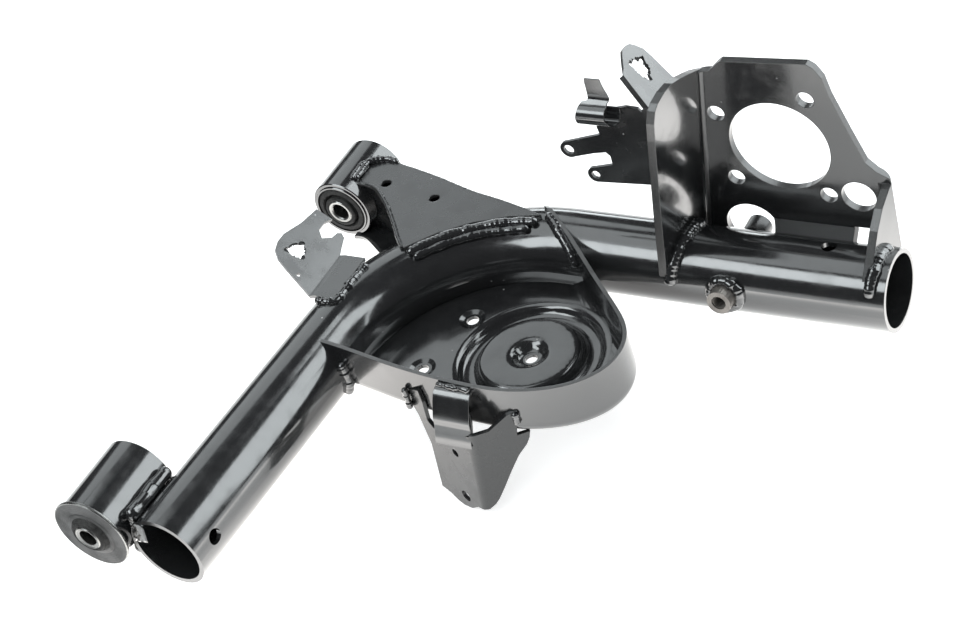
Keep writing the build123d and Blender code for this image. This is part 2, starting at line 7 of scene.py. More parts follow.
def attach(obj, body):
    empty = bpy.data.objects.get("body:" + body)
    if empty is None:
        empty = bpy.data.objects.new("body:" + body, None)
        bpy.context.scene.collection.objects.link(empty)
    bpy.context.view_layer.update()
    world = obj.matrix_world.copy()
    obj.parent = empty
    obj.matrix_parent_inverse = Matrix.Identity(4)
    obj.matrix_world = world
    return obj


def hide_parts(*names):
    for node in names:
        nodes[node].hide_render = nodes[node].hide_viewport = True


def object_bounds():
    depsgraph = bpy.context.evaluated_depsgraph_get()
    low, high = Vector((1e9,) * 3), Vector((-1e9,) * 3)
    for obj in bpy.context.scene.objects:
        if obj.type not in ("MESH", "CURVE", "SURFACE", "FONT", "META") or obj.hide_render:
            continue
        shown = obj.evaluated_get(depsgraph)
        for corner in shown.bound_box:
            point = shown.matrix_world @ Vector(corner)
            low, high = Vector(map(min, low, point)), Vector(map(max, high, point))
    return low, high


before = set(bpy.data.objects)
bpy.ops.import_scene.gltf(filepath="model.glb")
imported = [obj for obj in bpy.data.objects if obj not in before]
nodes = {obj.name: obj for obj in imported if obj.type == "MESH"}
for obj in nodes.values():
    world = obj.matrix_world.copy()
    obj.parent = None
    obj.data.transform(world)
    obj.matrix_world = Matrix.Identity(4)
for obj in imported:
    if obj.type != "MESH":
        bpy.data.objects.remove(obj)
first_box = [list(v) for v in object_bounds()]
MM = 0.001

# Sizes of the solids that the added pieces follow, in mm.

TUBE_R = 30.0
TUBE_Z = -12.0
BEND_R = 140.0
BEND_X = 206.47
BEND_Y = -135.5
ARM_Y = 4.5
ARM_END = 462.0
LEG_END = -350.0
LEG_X = 57.05
LEAN = tan(radians(2.5))
BOSS_FOOT = Vector((342.7, ARM_Y, TUBE_Z))
BOSS_WAY = Vector((0, -cos(radians(6)), sin(radians(6))))


def leg_axis(y):
    """X of the leg's axis at that Y."""
    return LEG_X + (y - LEG_END) * LEAN


# Node helpers.

# Socket numbers of a Mix node: factor, A, B and result.
MIX_COLOUR = (0, 6, 7, 2)
MIX_VALUE = (0, 2, 3, 0)


def feed(tree, socket, value):
    """Sets a plain number or colour on a socket, or links another node's output to it."""
    if isinstance(value, (int, float)):
        socket.default_value = value
    elif isinstance(value, tuple):
        socket.default_value = (*value, 1)
    else:
        tree.links.new(value, socket)


def new_group(name, inputs, outputs):
    g = bpy.data.node_groups.new(name, "ShaderNodeTree")
    for n, kind, default in inputs:
        s = g.interface.new_socket(n, in_out="INPUT", socket_type=kind)
        s.default_value = default
    for n in outputs:
        g.interface.new_socket(n, in_out="OUTPUT", socket_type="NodeSocketFloat")
    return g, g.nodes.new("NodeGroupInput"), g.nodes.new("NodeGroupOutput")


def maths(tree, kind, a, b=None, clamp=False):
    n = tree.nodes.new("ShaderNodeMath")
    n.operation = kind
    n.use_clamp = clamp
    feed(tree, n.inputs[0], a)
    if b is not None:
        feed(tree, n.inputs[1], b)
    return n.outputs[0]


def above(tree, value, limit):
    return maths(tree, "GREATER_THAN", value, limit)


def below(tree, value, limit):
    return maths(tree, "LESS_THAN", value, limit)


def both(tree, a, b):
    return maths(tree, "MULTIPLY", a, b)


def plain(tree, value):
    """The value without its sign."""
    return maths(tree, "ABSOLUTE", value)


def near_line(tree, value, middle, reach):
    return below(tree, plain(tree, maths(tree, "SUBTRACT", value, middle)), reach)


def ramp(tree, value, low, high):
    """0 at low, 1 at high and a soft step between."""
    n = tree.nodes.new("ShaderNodeMapRange")
    n.interpolation_type = "SMOOTHSTEP"
    feed(tree, n.inputs["Value"], value)
    feed(tree, n.inputs["From Min"], low)
    feed(tree, n.inputs["From Max"], high)
    return n.outputs["Result"]


def mix(tree, kind, sockets, factor, a, b):
    n = tree.nodes.new("ShaderNodeMix")
    n.data_type = kind
    for i, v in zip(sockets, (factor, a, b)):
        feed(tree, n.inputs[i], v)
    return n.outputs[sockets[3]]


def mix_colour(tree, factor, a, b):
    return mix(tree, "RGBA", MIX_COLOUR, factor, a, b)


def mix_value(tree, factor, a, b):
    return mix(tree, "FLOAT", MIX_VALUE, factor, a, b)


def noise_value(tree, coords, scale, detail=2.0, rough=0.5):
    n = tree.nodes.new("ShaderNodeTexNoise")
    feed(tree, n.inputs["Scale"], scale)
    feed(tree, n.inputs["Detail"], detail)
    feed(tree, n.inputs["Roughness"], rough)
    feed(tree, n.inputs["Vector"], coords)
    return n.outputs["Fac"]


def group_node(tree, group, coords, **values):
    n = tree.nodes.new("ShaderNodeGroup")
    n.node_tree = group
    feed(tree, n.inputs["Coords"], coords)
    for k, v in values.items():
        feed(tree, n.inputs[k], v)
    return n


def split(tree, vector):
    """X, Y and Z of a vector."""
    n = tree.nodes.new("ShaderNodeSeparateXYZ")
    feed(tree, n.inputs[0], vector)
    return n.outputs


def empty_tree(owner):
    """The node tree of a material or world, with nothing in it."""
    owner.use_nodes = True
    for n in list(owner.node_tree.nodes):
        owner.node_tree.nodes.remove(n)
    return owner.node_tree


# Shared effects, as node groups.

COORDS = ("Coords", "NodeSocketVector", (0, 0, 0))

# Share of the speck cells: a cell over the first number is a speck, one under the second a pit.
SPECK_ABOVE = 0.93
PIT_BELOW = 0.10
# Heights against that of the slow waves, which is 1.
PEEL_HEIGHT = 0.035
SPECK_HEIGHT = 0.10
PIT_DEPTH = 0.10


def make_paint_texture():
    """Dipped paint: slow waves, fine orange peel, pits, light specks and duller patches."""
    g, i, o = new_group(
        "paint_texture",
        [
            COORDS,
            ("Wave Scale", "NodeSocketFloat", 28.0),
            ("Peel Scale", "NodeSocketFloat", 700.0),
            ("Speck Scale", "NodeSocketFloat", 130.0),
        ],
        ["Height", "Specks", "Haze"],
    )
    c = i.outputs["Coords"]
    wave = noise_value(g, c, i.outputs["Wave Scale"])
    peel = noise_value(g, c, i.outputs["Peel Scale"], 1.0)
    cells = g.nodes.new("ShaderNodeTexVoronoi")
    feed(g, cells.inputs["Vector"], c)
    feed(g, cells.inputs["Scale"], i.outputs["Speck Scale"])
    dot = maths(g, "SUBTRACT", 1.0, ramp(g, cells.outputs["Distance"], 0.05, 0.11))
    cell = g.nodes.new("ShaderNodeSeparateColor")
    feed(g, cell.inputs[0], cells.outputs["Color"])
    draw = cell.outputs[0]
    specks = both(g, dot, above(g, draw, SPECK_ABOVE))
    pits = both(g, dot, below(g, draw, PIT_BELOW))
    h = maths(g, "ADD", wave, maths(g, "MULTIPLY", peel, PEEL_HEIGHT))
    h = maths(g, "ADD", h, maths(g, "MULTIPLY", specks, SPECK_HEIGHT))
    h = maths(g, "SUBTRACT", h, maths(g, "MULTIPLY", pits, PIT_DEPTH))
    feed(g, o.inputs["Height"], h)
    feed(g, o.inputs["Specks"], specks)
    feed(g, o.inputs["Haze"], ramp(g, noise_value(g, c, 55.0, 5.0, 0.62), 0.42, 0.72))
    return g


def make_edge_grain():
    """Torn grain of a sheared steel edge under thin paint."""
    g, i, o = new_group("edge_grain", [COORDS, ("Scale", "NodeSocketFloat", 900.0)], ["Height", "Bare"])
    grain = noise_value(g, i.outputs["Coords"], i.outputs["Scale"], 4.0, 0.65)
    feed(g, o.inputs["Height"], grain)
    feed(g, o.inputs["Bare"], ramp(g, grain, 0.44, 0.62))
    return g


def make_dust():
    """Loose dust: thick on faces that look up, in soft patches."""
    g, i, o = new_group("dust", [COORDS, ("Amount", "NodeSocketFloat", 0.3)], ["Mask"])
    geo = g.nodes.new("ShaderNodeNewGeometry")
    up = ramp(g, split(g, geo.outputs["Normal"])["Z"], -0.2, 1.0)
    patch = ramp(g, noise_value(g, i.outputs["Coords"], 90.0, 6.0, 0.7), 0.35, 0.75)
    feed(g, o.inputs["Mask"], maths(g, "MULTIPLY", both(g, up, patch), i.outputs["Amount"], True))
    return g


def make_turning_marks():
    """Fine rings round the Y axis, with some noise over them."""
    g, i, o = new_group("turning_marks", [COORDS, ("Rings", "NodeSocketFloat", 3500.0)], ["Height"])
    place = split(g, i.outputs["Coords"])
    squares = [maths(g, "MULTIPLY", place[k], place[k]) for k in "XZ"]
    r = maths(g, "SQRT", maths(g, "ADD", *squares))
    rings = maths(g, "SINE", maths(g, "MULTIPLY", r, i.outputs["Rings"]))
    grain = noise_value(g, i.outputs["Coords"], 600.0, 3.0)
    feed(g, o.inputs["Height"], maths(g, "ADD", maths(g, "MULTIPLY", rings, 0.4), grain))
    return g


PAINT_TEXTURE = make_paint_texture()
EDGE_GRAIN = make_edge_grain()
DUST = make_dust()
TURNING_MARKS = make_turning_marks()

# Materials. Colours are linear.

PAINT_BLACK = (0.010, 0.0105, 0.011)
SPECK_GREY = (0.30, 0.30, 0.30)
DUSTY_PAINT = (0.16, 0.16, 0.155)
EDGE_BLACK = (0.010, 0.010, 0.010)
EDGE_GREY = (0.035, 0.035, 0.035)
DUSTY_STEEL = (0.42, 0.41, 0.39)
RUBBER_BLACK = (0.007, 0.007, 0.007)
RUBBER_GREY = (0.030, 0.030, 0.029)
DUSTY_RUBBER = (0.08, 0.08, 0.077)
EDGE_ROUGH = 0.36
DULL_ROUGH = 0.62
EDGE_GRAIN_HEIGHT = 0.5
ROUNDING_SAMPLES = 6


def fresh_material(name):
    """A material with a Principled shader: material, tree, shader and object coordinates."""
    m = bpy.data.materials.new(name)
    t = empty_tree(m)
    out = t.nodes.new("ShaderNodeOutputMaterial")
    b = t.nodes.new("ShaderNodeBsdfPrincipled")
    feed(t, out.inputs["Surface"], b.outputs["BSDF"])
    tc = t.nodes.new("ShaderNodeTexCoord")
    return m, t, b, tc.outputs["Object"]


def bump(tree, shader, height, strength, distance, rounding=0.0):
    """Gives the shader's normal a height. rounding is the radius of softened corners, in m."""
    n = tree.nodes.new("ShaderNodeBump")
    if rounding:
        soft = tree.nodes.new("ShaderNodeBevel")
        soft.samples = ROUNDING_SAMPLES
        feed(tree, soft.inputs["Radius"], rounding)
        feed(tree, n.inputs["Normal"], soft.outputs["Normal"])
    feed(tree, n.inputs["Strength"], strength)
    feed(tree, n.inputs["Distance"], distance)
    feed(tree, n.inputs["Height"], height)
    feed(tree, shader.inputs["Normal"], n.outputs["Normal"])


def gloss_paint(name, edge=None, wave=1.0, rough=0.14, ior=1.75, coat=0.6, soft=0.0, thin=None):
    """Black dip paint.

    edge and thin are functions that return a mask, of cut edges and of paint without gloss.
    wave is the height of the waves, and soft the radius of softened corners in m.
    """
    m, t, b, co = fresh_material(name)
    tex = group_node(t, PAINT_TEXTURE, co)
    dust = group_node(t, DUST, co, Amount=0.03)
    colour = mix_colour(t, tex.outputs["Specks"], PAINT_BLACK, SPECK_GREY)
    colour = mix_colour(t, dust.outputs["Mask"], colour, DUSTY_PAINT)
    roughness = mix_value(t, tex.outputs["Haze"], rough, rough + 0.10)
    height = maths(t, "MULTIPLY", tex.outputs["Height"], wave)
    if edge is not None:
        mask = edge(t)
        grain = group_node(t, EDGE_GRAIN, co)
        colour = mix_colour(t, mask, colour, mix_colour(t, grain.outputs["Bare"], EDGE_BLACK, EDGE_GREY))
        roughness = mix_value(t, mask, roughness, EDGE_ROUGH)
        torn = maths(t, "MULTIPLY", grain.outputs["Height"], EDGE_GRAIN_HEIGHT)
        height = mix_value(t, mask, height, torn)
    feed(t, b.inputs["IOR"], ior)
    feed(t, b.inputs["Specular IOR Level"], 0.85)
    feed(t, b.inputs["Coat Weight"], coat)
    feed(t, b.inputs["Coat Roughness"], 0.06)
    feed(t, b.inputs["Coat IOR"], 1.55)
    if thin is not None:
        dull = thin(t)
        feed(t, b.inputs["Coat Weight"], mix_value(t, dull, coat, 0.0))
        roughness = mix_value(t, dull, roughness, DULL_ROUGH)
    feed(t, b.inputs["Base Color"], colour)
    feed(t, b.inputs["Roughness"], roughness)
    bump(t, b, height, 0.22, 0.0012, soft)
    return m


def parts_of(tree):
    """Position and true normal of the shaded point, each split in X, Y and Z."""
    geo = tree.nodes.new("ShaderNodeNewGeometry")
    tc = tree.nodes.new("ShaderNodeTexCoord")
    return split(tree, tc.outputs["Object"]), split(tree, geo.outputs["True Normal"])


# Masks of cut edges. Places are in m, and a normal's parts run from -1 to 1.

FACES_THAT_WAY = 0.9
PAN_RIM_Z = 0.0148
LIP_TOP_Z = 0.0141
LIP_FRONT_Y = 0.02
WEB_FRONT_Y = 0.0349
WEB_MIDDLE_X = 0.388
DECK_BOTTOM_Z = 0.0181


def tube_ends(t):
    """Both cut ends of the main tube."""
    p, n = parts_of(t)
    hub_end = above(t, p["X"], (ARM_END - 0.3) * MM)
    leg_end = below(t, p["Y"], (LEG_END + 1.5) * MM)
    flat = above(t, plain(t, n["Y"]), FACES_THAT_WAY)
    return maths(t, "MAXIMUM", hub_end, both(t, leg_end, flat))


def pan_rim(t):
    """Cut top edge of the pan's wall."""
    p, n = parts_of(t)
    return both(t, above(t, n["Z"], FACES_THAT_WAY), above(t, p["Z"], PAN_RIM_Z))


def hub_lip(t):
    """Narrow folded lip along the bottom of the hub plate's web."""
    p, _ = parts_of(t)
    low = below(t, p["Z"], LIP_TOP_Z)
    middle = near_line(t, p["X"], WEB_MIDDLE_X, 0.05)
    return both(t, both(t, low, middle), above(t, p["Y"], LIP_FRONT_Y))


def plate_edges(t):
    """Cut edges of the hub plate: its web's face looks along Y, and its flanges' nearly along X."""
    p, n = parts_of(t)
    behind = above(t, p["Y"], WEB_FRONT_Y)
    high = above(t, p["Z"], LIP_TOP_Z)
    web = both(t, both(t, behind, high), below(t, plain(t, n["Y"]), 0.1))
    lip = both(t, maths(t, "SUBTRACT", 1.0, high), near_line(t, p["X"], WEB_MIDDLE_X, 0.036))
    ahead = maths(t, "SUBTRACT", maths(t, "SUBTRACT", 1.0, behind), lip, True)
    return maths(t, "MAXIMUM", web, both(t, ahead, below(t, plain(t, n["X"]), 0.75)))


def deck_edges(t):
    """Cut edge round the gusset's deck."""
    p, n = parts_of(t)
    return both(t, below(t, plain(t, n["Z"]), 0.5), above(t, p["Z"], DECK_BOTTOM_Z))


def side_edges(axis):
    """Edges of a thin plate whose faces look along that axis."""

    def mask(t):
        geo = t.nodes.new("ShaderNodeNewGeometry")
        d = t.nodes.new("ShaderNodeVectorMath")
        d.operation = "DOT_PRODUCT"
        d.inputs[1].default_value = axis
        feed(t, d.inputs[0], geo.outputs["True Normal"])
        return below(t, plain(t, d.outputs["Value"]), 0.6)

    return mask


def steel(name, colour, rough, marks, metallic=1.0, dust=0.0):
    """Turned steel. marks is the strength of the turning marks."""
    m, t, b, co = fresh_material(name)
    haze = group_node(t, PAINT_TEXTURE, co).outputs["Haze"]
    c = mix_colour(t, haze, colour, tuple(v * 0.62 for v in colour))
    if dust:
        c = mix_colour(t, group_node(t, DUST, co, Amount=dust).outputs["Mask"], c, DUSTY_STEEL)
    feed(t, b.inputs["Base Color"], c)
    feed(t, b.inputs["Roughness"], mix_value(t, haze, rough, rough + 0.16))
    feed(t, b.inputs["Metallic"], metallic)
    bump(t, b, group_node(t, TURNING_MARKS, co).outputs["Height"], marks, 0.0003)
    return m


def rubber(name):
    """Dull rubber with dust on it."""
    m, t, b, co = fresh_material(name)
    dust = group_node(t, DUST, co, Amount=0.55)
    n = noise_value(t, co, 320.0, 5.0, 0.7)
    c = mix_colour(t, ramp(t, n, 0.35, 0.7), RUBBER_BLACK, RUBBER_GREY)
    feed(t, b.inputs["Base Color"], mix_colour(t, dust.outputs["Mask"], c, DUSTY_RUBBER))
    feed(t, b.inputs["Roughness"], DULL_ROUGH)
    feed(t, b.inputs["Specular IOR Level"], 0.22)
    bump(t, b, n, 0.4, 0.0004)
    return m


paint = gloss_paint("gloss_paint")
tube_paint = gloss_paint("tube_paint", tube_ends, wave=1.2)
pan_paint = gloss_paint("pan_paint", pan_rim, ior=1.68, soft=0.0007)
hub_paint = gloss_paint("hub_paint", plate_edges, ior=1.6, coat=0.4, soft=0.0009, thin=hub_lip)
deck_paint = gloss_paint("deck_paint", deck_edges, rough=0.26, ior=1.62, coat=0.45, wave=0.7, soft=0.0016)
hose_paint = gloss_paint("hose_paint", side_edges((0.438, 0, 0.899)), rough=0.22, wave=0.5)
tab_paint = gloss_paint("tab_paint", side_edges((0.756, 0.252, 0.605)), rough=0.24, ior=1.65, wave=0.4)
clip_paint = gloss_paint("clip_paint", side_edges((0, 1, 0)), rough=0.2, ior=1.5, coat=0.2, wave=0.35)
bracket_paint = gloss_paint("bracket_paint", rough=0.24, coat=0.1, ior=1.5, wave=0.7, soft=0.0008)
torn_paint = gloss_paint("torn_paint", rough=0.5, coat=0.0, ior=1.45, wave=3.0)
weld_paint = gloss_paint("weld_paint", wave=0.6, rough=0.12)
flange_steel = steel("flange_steel", (0.085, 0.085, 0.085), 0.40, marks=0.25, metallic=0.5, dust=0.08)
bright_steel = steel("bright_steel", (0.34, 0.34, 0.33), 0.26, marks=0.5)
boss_steel = steel("boss_steel", (0.30, 0.28, 0.26), 0.38, marks=0.5, metallic=0.8)
bush_rubber = rubber("bush_rubber")

looks = {
    "main_tube": tube_paint,
    "spring_pan": pan_paint,
    "hub_plate": hub_paint,
    "gusset": deck_paint,
    "gusset_lower": paint,
    "front_bracket": bracket_paint,
    "hose_bracket": hose_paint,
    "hose_tab": tab_paint,
    "clip_plate": clip_paint,
    "pipe_clip": paint,
    "rear_stub": bracket_paint,
    "threaded_boss": boss_steel,
    "bush_flange_front": flange_steel,
    "bush_rubber_front": bush_rubber,
    "bush_rubber_rear": bush_rubber,
    "bush_inner_front": bright_steel,
    "bush_inner_rear": bright_steel,
}


def dress(obj, material):
    """Puts the material in every slot of a piece, and makes a slot where it has none."""
    if not obj.material_slots:
        obj.data.materials.append(material)
    for s in obj.material_slots:
        s.material = material


for name, obj in nodes.items():
    dress(obj, looks.get(name, weld_paint if name.startswith("weld") else paint))

# Mesh helpers. Pieces are drawn in mm.


def add_object(name, bm, material):
    """Makes an object of a bmesh."""
    mesh = bpy.data.meshes.new(name)
    bm.to_mesh(mesh)
    bm.free()
    o = bpy.data.objects.new(name, mesh)
    bpy.context.scene.collection.objects.link(o)
    o.data.materials.append(material)
    return o


def piece(name, bm, material, slot, *stands_for):
    """Finishes a bmesh drawn in mm as a smooth piece of the object."""
    for v in bm.verts:
        v.co *= MM
    bmesh.ops.remove_doubles(bm, verts=bm.verts, dist=1e-6)
    bmesh.ops.recalc_face_normals(bm, faces=bm.faces)
    o = add_object(name, bm, material)
    for p in o.data.polygons:
        p.use_smooth = True
    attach(o, "root")
    if stands_for:
        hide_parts(*stands_for)
    return o


def circle(bm, sides, radius, centre, way):
    """Vertices of a ring round a point, which looks that way."""
    turn = way.to_track_quat("Z", "Y").to_matrix().to_4x4()
    place = Matrix.Translation(centre) @ turn
    return bmesh.ops.create_circle(bm, segments=sides, radius=radius, matrix=place)["verts"]


def edges_of(*rings):
    return list({e for ring in rings for v in ring for e in v.link_edges})


def closed_line(bm, verts):
    """Edges from each vertex to the next, and from the last to the first."""
    return [bm.edges.new((verts[k], verts[(k + 1) % len(verts)])) for k in range(len(verts))]


def grow_edges(bm, edges, way):
    """Extrudes edges and moves the new ones that way. Returns all that is new, and its vertices."""
    grown = bmesh.ops.extrude_edge_only(bm, edges=edges)["geom"]
    verts = [g for g in grown if isinstance(g, bmesh.types.BMVert)]
    bmesh.ops.translate(bm, verts=verts, vec=way)
    return grown, verts


def thicken(bm, wall):
    bmesh.ops.solidify(bm, geom=bm.faces[:], thickness=wall)


def soften_edges(obj, width):
    """Small rounded edges that catch the light. Width is in m."""
    b = obj.modifiers.new("soft_edges", "BEVEL")
    b.width = width
    b.segments = 2
    b.limit_method = "ANGLE"
    b.angle_limit = radians(40)
    b.harden_normals = True


# Weld beads.

RING_STEP = 0.55


def curve_points(points, step):
    """Points about one step apart on a smooth line through the given points."""
    pts = [Vector(p) for p in points]
    out = []
    for k in range(len(pts) - 1):
        p0 = pts[k - 1] if k else pts[0] * 2 - pts[1]
        p1, p2 = pts[k], pts[k + 1]
        p3 = pts[k + 2] if k + 2 < len(pts) else pts[-1] * 2 - pts[-2]
        n = max(2, round((p2 - p1).length / step))
        for i in range(n):
            t = i / n
            a = 2 * p1 + (p2 - p0) * t + (2 * p0 - 5 * p1 + 4 * p2 - p3) * t * t
            out.append((a + (3 * p1 - p0 - 3 * p2 + p3) * t ** 3) / 2)
    out.append(pts[-1])
    return out


def weld_bead(name, points, r, seed, node=None, ripple=0.35, lump=0.6, closed=False, sides=14,
              pitch=2.3, fine=0.5, material=weld_paint, slot="weld"):
    """A run of weld: rings bridged along a line, with chevron ripples, lumps and round ends.

    r is the bead's radius, ripple and lump are heights, pitch is from one ripple to the next,
    and fine is the share of small lumps. node is the plain weld that the bead stands for.
    """
    line = curve_points(points, RING_STEP)
    if closed:
        line = line[:-1]
    bm = bmesh.new()
    total = len(line)
    k = 0.9 / r
    rings = []
    travelled = 0.0
    for i, p in enumerate(line):
        ahead = line[(i + 1) % total] if closed else line[min(i + 1, total - 1)]
        back = line[i - 1] if closed else line[max(i - 1, 0)]
        if i:
            travelled += (p - line[i - 1]).length
        end = 1.0
        if not closed:
            from_end = min(i, total - 1 - i) * RING_STEP / r
            end = sqrt(max(0.02, 1 - (1 - min(from_end, 1.0)) ** 2))
        ring = circle(bm, sides, 1.0, p, (ahead - back).normalized())
        for v in ring:
            out = v.co - p
            u = noise.noise(Vector((v.co.x * k * 0.5 + seed, v.co.y * k * 0.5, v.co.z * k * 0.5)))
            w = noise.noise(Vector((v.co.x * k * 1.3, v.co.y * k * 1.3 + seed, v.co.z * k * 1.3)))
            arch = abs(out.z) * 0.9
            step = (travelled + arch + 0.8 * w) / pitch % 1.0
            wave = (1 - step) ** 1.5 - 0.4
            v.co = p + out * (r * end + end * (lump * (u + fine * w) + ripple * wave))
        rings.append(ring)
    loops = [edges_of(ring) for ring in rings]
    for i in range(len(loops) if closed else len(loops) - 1):
        bmesh.ops.bridge_loops(bm, edges=loops[i] + loops[(i + 1) % len(loops)])
    if not closed:
        for loop in (loops[0], loops[-1]):
            bmesh.ops.triangle_fill(bm, edges=loop, use_beauty=True)
    piece(name, bm, material, slot, *([node] if node else []))


def on_arm(x, angle, out):
    r = TUBE_R + out
    return (x, ARM_Y - r * cos(radians(angle)), TUBE_Z + r * sin(radians(angle)))


def on_leg(y, angle, out):
    r = TUBE_R + out
    return (leg_axis(y) + r * cos(radians(angle)), y, TUBE_Z + r * sin(radians(angle)))


def on_bend(angle, offset, z):
    r = BEND_R + offset
    return (BEND_X + r * cos(radians(angle)), BEND_Y + r * sin(radians(angle)), z)


def sleeve_valley(side):
    """Line between the front sleeve and the leg, over them (1) or under them (-1)."""
    from_sleeve, from_leg = 33.0, 35.0
    wide, drop = LEG_X, -TUBE_Z
    d = hypot(wide, drop)
    u = (from_sleeve ** 2 - from_leg ** 2 + d * d) / (2 * d)
    v = sqrt(from_sleeve ** 2 - u * u) * side
    x, z = (u * wide + v * drop) / d, (v * wide - u * drop) / d
    return [
        (x + 0.9 * k / 5 + 0.5 * (-1) ** k, -347 + 50 * k / 5, z + 0.4 * (-1) ** k)
        for k in range(6)
    ]


weld_bead(
    "bead_crown", [on_bend(a, -8.0, 18.7) for a in (144, 132, 121, 110, 98.5)], 4.1, 1.3,
    "weld_gusset_crown", lump=0.9, ripple=0.22, pitch=3.6, fine=0.3,
)
weld_bead(
    "bead_second", [on_bend(a, -13.4, 16.3) for a in (143, 131, 117, 101)], 3.5, 4.1,
    "weld_gusset_second", lump=0.8, ripple=0.15, pitch=5.0, fine=0.25,
)

# The hub plate's flanges and the pan's ends lean, so X follows Y and Z there.
arm_left = [on_arm(0, a, 0.5) for a in (8, 30, 55, 80, 105, 125)]
arm_left = [(306 + 0.147 * z + (y - 35) * 0.129 + 2.8, y, z) for x, y, z in arm_left]
weld_bead("bead_hub_left", arm_left, 4.9, 7.7, "weld_hub_left", lump=1.2, ripple=0.4, pitch=3.2)
arm_right = [on_arm(0, a, 0.5) for a in (28, 45, 65, 90, 115)]
arm_right = [(455 - (35 - y) * 0.085 + 0.8, y, z) for x, y, z in arm_right]
weld_bead("bead_hub_right", arm_right, 4.3, 9.2, "weld_hub_right", lump=1.4, pitch=3.2)
bush_line = [(13.6, 12, 23.56), (13.6, 42, 23.56)]
weld_bead("bead_gusset_bush", bush_line, 2.3, 2.2, "weld_gusset_bush", lump=0.9)
pan_left = [on_leg(-159.0, a, 0.8) for a in (24, 8, -10, -26, -38)]
pan_left = [(x, -159.4 - (x - leg_axis(-156)) * 0.09, z) for x, y, z in pan_left]
weld_bead("bead_pan_left", pan_left, 4.1, 11.5, "weld_pan_left", lump=1.8, pitch=4.6)
pan_right = [on_arm(0, a, 0.8) for a in (90, 72, 55, 36, 16)]
pan_right = [(192.5 + (2.5 - y) * 1.16, y, z) for x, y, z in pan_right]
weld_bead(
    "bead_pan_right", pan_right, 4.4, 12.4,
    "weld_pan_right", lump=1.5, ripple=0.3, pitch=4.0, fine=0.35,
)

strap_line = [(188, -175.6, 12), (202, -176.8, 12.4), (216, -177.2, 12)]
weld_bead("bead_strap", strap_line, 2.2, 14.6, "weld_strap", lump=1.2)
bracket_left = [(155, -173, -2), (154.5, -173, -22)]
weld_bead("bead_bracket_left", bracket_left, 2.5, 15.3, "weld_bracket_left", lump=1.2)
bracket_right = [(246.5, -175.4, -4), (246.2, -175.4, -16)]
weld_bead("bead_bracket_right", bracket_right, 2.6, 16.9, "weld_bracket_right", lump=1.2)
foot = [(53, -119.6, 17.6), (64, -119.8, 18.2), (70.5, -116.5, 18.0), (71.4, -96, 17.9), (72.4, -74, 17.8)]
weld_bead("bead_hose_foot", foot, 3.4, 17.2, "weld_hose_foot", lump=1.5, ripple=0.4, pitch=4.4, fine=0.35)
clip_line = [(301.0 + 0.147 * z - 4.2, -1.2, z) for z in (70, 98, 124)]
weld_bead("bead_clip", clip_line, 1.8, 18.8, "weld_clip_plate", lump=0.7)
for key, side in (("upper", 1), ("lower", -1)):
    weld_bead(
        "bead_bush_front_" + key, sleeve_valley(side), 5.4, 20.5 + side,
        "weld_bush_front_" + key, lump=1.1, ripple=0.12, pitch=11.0, sides=20, fine=0.1,
    )

boss_ring_middle = BOSS_FOOT + BOSS_WAY * 30.4
across, upward = Vector((1, 0, 0)), BOSS_WAY.cross(Vector((1, 0, 0)))
boss_ring = [
    boss_ring_middle + (across * cos(a * pi / 8) + upward * sin(a * pi / 8)) * 11.0
    for a in range(17)
]
weld_bead(
    "bead_boss", boss_ring, 4.0, 23.1,
    "weld_boss", lump=2.2, ripple=0.6, pitch=5.0, closed=True, fine=0.4,
)
deck_corner = [
    (10.4, 10.5, 23.4), (9.8, 20, 23.8), (10.2, 28, 23.8), (13.4, 34.5, 23.4),
    (20, 39.2, 22.6), (28, 41.6, 21.8), (38, 40.4, 21.2),
]
weld_bead("bead_deck_corner", deck_corner, 2.9, 31.4, lump=1.1, ripple=0.3, pitch=4.0, fine=0.35)

# Small sheet pieces.

OPENING_SIDES = 54


def star_edge(bm, centre, normal, small, big, turn, jag):
    """A ragged round opening with three lobes. small and big are its radii, in and out of a lobe."""
    ring = circle(bm, OPENING_SIDES, small, centre, normal)
    for k, v in enumerate(ring):
        lobe = max(0.0, cos(3 * (2 * pi * k / OPENING_SIDES - turn))) ** 3
        ragged = jag * noise.noise(Vector((k * 0.83, turn, small)))
        v.co = centre + (v.co - centre) * (1 + (big / small - 1) * lobe + ragged)
    return ring


def torn_ring(name, centre, normal, small, big, turn):
    """Dark torn metal left round a lanced opening."""
    bm = bmesh.new()
    inner = star_edge(bm, centre, normal, small, big, turn, 0.35)
    outer = circle(bm, OPENING_SIDES, big + 2.6, centre, normal)
    bmesh.ops.bridge_loops(bm, edges=edges_of(inner, outer))
    thicken(bm, 0.5)
    piece(name, bm, torn_paint, "paint")


